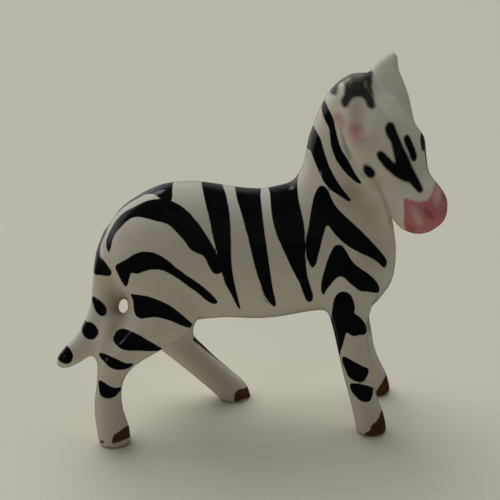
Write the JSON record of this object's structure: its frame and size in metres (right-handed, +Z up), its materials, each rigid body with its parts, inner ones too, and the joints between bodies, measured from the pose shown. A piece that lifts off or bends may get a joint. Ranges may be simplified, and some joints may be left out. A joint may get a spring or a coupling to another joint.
{
  "type": "zebra figurine",
  "caption": "Walking zebra in glazed porcelain, cast in one piece, head turned to its right, tail joined to the hind leg, standing on its feet.",
  "frame": {"origin": "middle of the bounding box, on the surface that the feet stand on", "axes": "+Z up, +X from the tail to the chest, +Y to the animal's left, away from the side its head turns to"},
  "size_m": [0.0614, 0.023, 0.0623],
  "materials": {
    "porcelain": "clear gloss glaze over hand-painted black stripes, brown hooves and a pink muzzle"
  },
  "bodies": {
    "root": {"zebra": "porcelain"}
  },
  "joints": []
}
